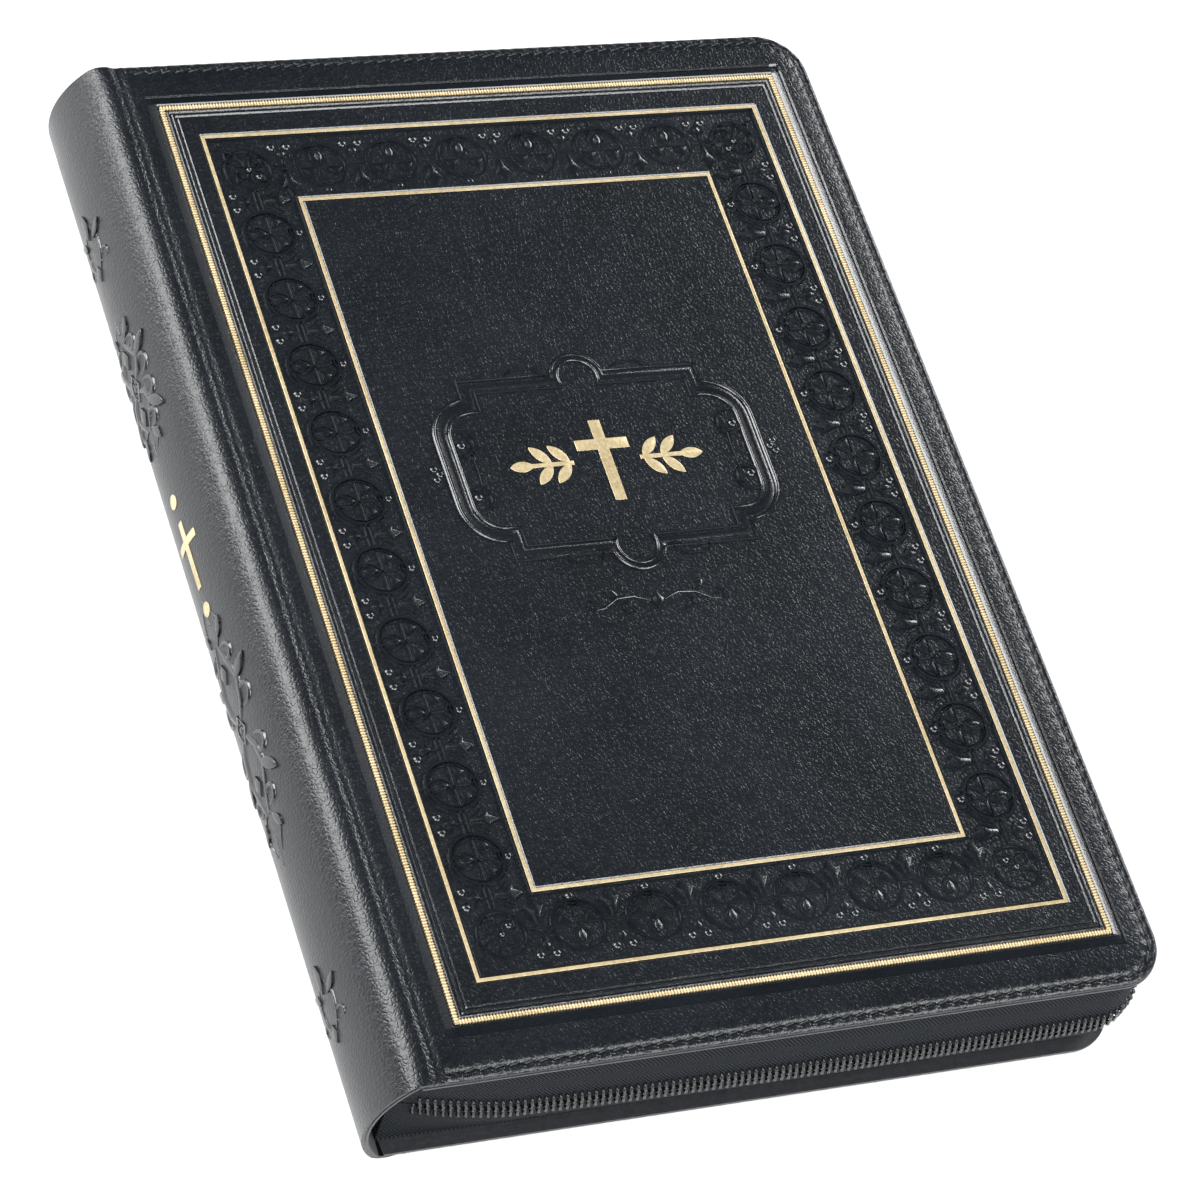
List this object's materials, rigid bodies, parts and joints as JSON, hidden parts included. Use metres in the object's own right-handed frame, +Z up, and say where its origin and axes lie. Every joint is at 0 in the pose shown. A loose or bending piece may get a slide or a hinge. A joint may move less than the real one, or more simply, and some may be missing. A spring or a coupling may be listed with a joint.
{
  "type": "bible",
  "caption": "Zip-round bible in soft black covers with a round spine, gold framed front, gilt page block, loose leaves, ribbon marker, slider and pull.",
  "frame": {"origin": "centre of the book's bounding box on the surface it lies on", "axes": "+X from the spine to the fore-edge, +Y from the tail to the head, +Z up from the back cover to the front cover"},
  "size_m": [0.1738, 0.2484, 0.031],
  "materials": {
    "leather_black": "fine pebble grain, satin",
    "backing_cloth": "pale knitted backing, seen as a line on cut edges",
    "board": "grey board with foam",
    "lining_black": "smooth lining",
    "endpaper_dark": "dark laid endpaper",
    "thread_black": "waxed thread",
    "zip_tape": "charcoal herringbone tape",
    "zip_coil": "black nylon coil",
    "slider_metal": "black enamelled zinc",
    "pages": "thin paper, gilt edges",
    "mull": "open backing cloth with glue",
    "end_band": "woven band",
    "ribbon": "satin ribbon",
    "gold_foil": "pale stamped foil",
    "leaf_paper": "cream paper"
  },
  "bodies": {
    "text_block": {"page_block": "pages", "spine_skin": "leather_black", "spine_backing": "backing_cloth", "spine_stiffener": "board", "spine_mull": "mull", "head_band": "end_band", "tail_band": "end_band", "ribbon_marker": "ribbon", "spine_gold": "gold_foil"},
    "front_cover": {"front_skin": "leather_black", "front_backing": "backing_cloth", "front_board": "board", "front_lining": "lining_black", "front_pastedown": "endpaper_dark", "front_stitching": "thread_black", "upper_zip_tape": "zip_tape", "upper_zip_coil": "zip_coil", "gold_frames": "gold_foil", "gold_device": "gold_foil"},
    "back_cover": {"back_skin": "leather_black", "back_backing": "backing_cloth", "back_board": "board", "back_lining": "lining_black", "back_pastedown": "endpaper_dark", "back_stitching": "thread_black", "lower_zip_tape": "zip_tape", "lower_zip_coil": "zip_coil", "zip_end_stop": "slider_metal"},
    "first_leaf": {"front_flyleaf": "endpaper_dark"},
    "second_leaf": {"presentation_leaf": "leaf_paper"},
    "third_leaf": {"title_leaf": "leaf_paper"},
    "last_leaf": {"rear_flyleaf": "endpaper_dark"},
    "slider": {"zip_slider": "slider_metal", "pull_pin": "slider_metal"},
    "pull": {"pull_tab": "slider_metal"}
  },
  "joints": [
    {"name": "front_cover_open", "type": "hinge", "parent": "text_block", "child": "front_cover", "pos_m": [-0.08046, 0, 0.0306], "axis": [0, -1, 0], "range_deg": [0, 175]},
    {"name": "back_cover_open", "type": "hinge", "parent": "text_block", "child": "back_cover", "pos_m": [-0.08046, 0, 0.0004], "axis": [0, 1, 0], "range_deg": [0, 175]},
    {"name": "first_leaf_turn", "type": "hinge", "parent": "text_block", "child": "first_leaf", "pos_m": [-0.08046, 0, 0.0306], "axis": [0, -1, 0], "range_deg": [0, 162]},
    {"name": "second_leaf_turn", "type": "hinge", "parent": "text_block", "child": "second_leaf", "pos_m": [-0.08046, 0, 0.0306], "axis": [0, -1, 0], "range_deg": [0, 109]},
    {"name": "third_leaf_turn", "type": "hinge", "parent": "text_block", "child": "third_leaf", "pos_m": [-0.08046, 0, 0.0306], "axis": [0, -1, 0], "range_deg": [0, 57]},
    {"name": "last_leaf_turn", "type": "hinge", "parent": "text_block", "child": "last_leaf", "pos_m": [-0.08046, 0, 0.0004], "axis": [0, 1, 0], "range_deg": [0, 88]},
    {"name": "zip_slider_run", "type": "slide", "parent": "back_cover", "child": "slider", "axis": [1, 0, 0], "range_m": [0, 0.14]},
    {"name": "pull_tab_swing", "type": "hinge", "parent": "slider", "child": "pull", "pos_m": [-0.07566, 0.12287, 0.0155], "axis": [0, 0, 1], "range_deg": [0, 180]}
  ],
  "couplings": [
    {"joint": "first_leaf_turn", "follows": "front_cover_open", "ratio": 0.92},
    {"joint": "second_leaf_turn", "follows": "front_cover_open", "ratio": 0.62},
    {"joint": "third_leaf_turn", "follows": "front_cover_open", "ratio": 0.32},
    {"joint": "last_leaf_turn", "follows": "back_cover_open", "ratio": 0.5}
  ]
}
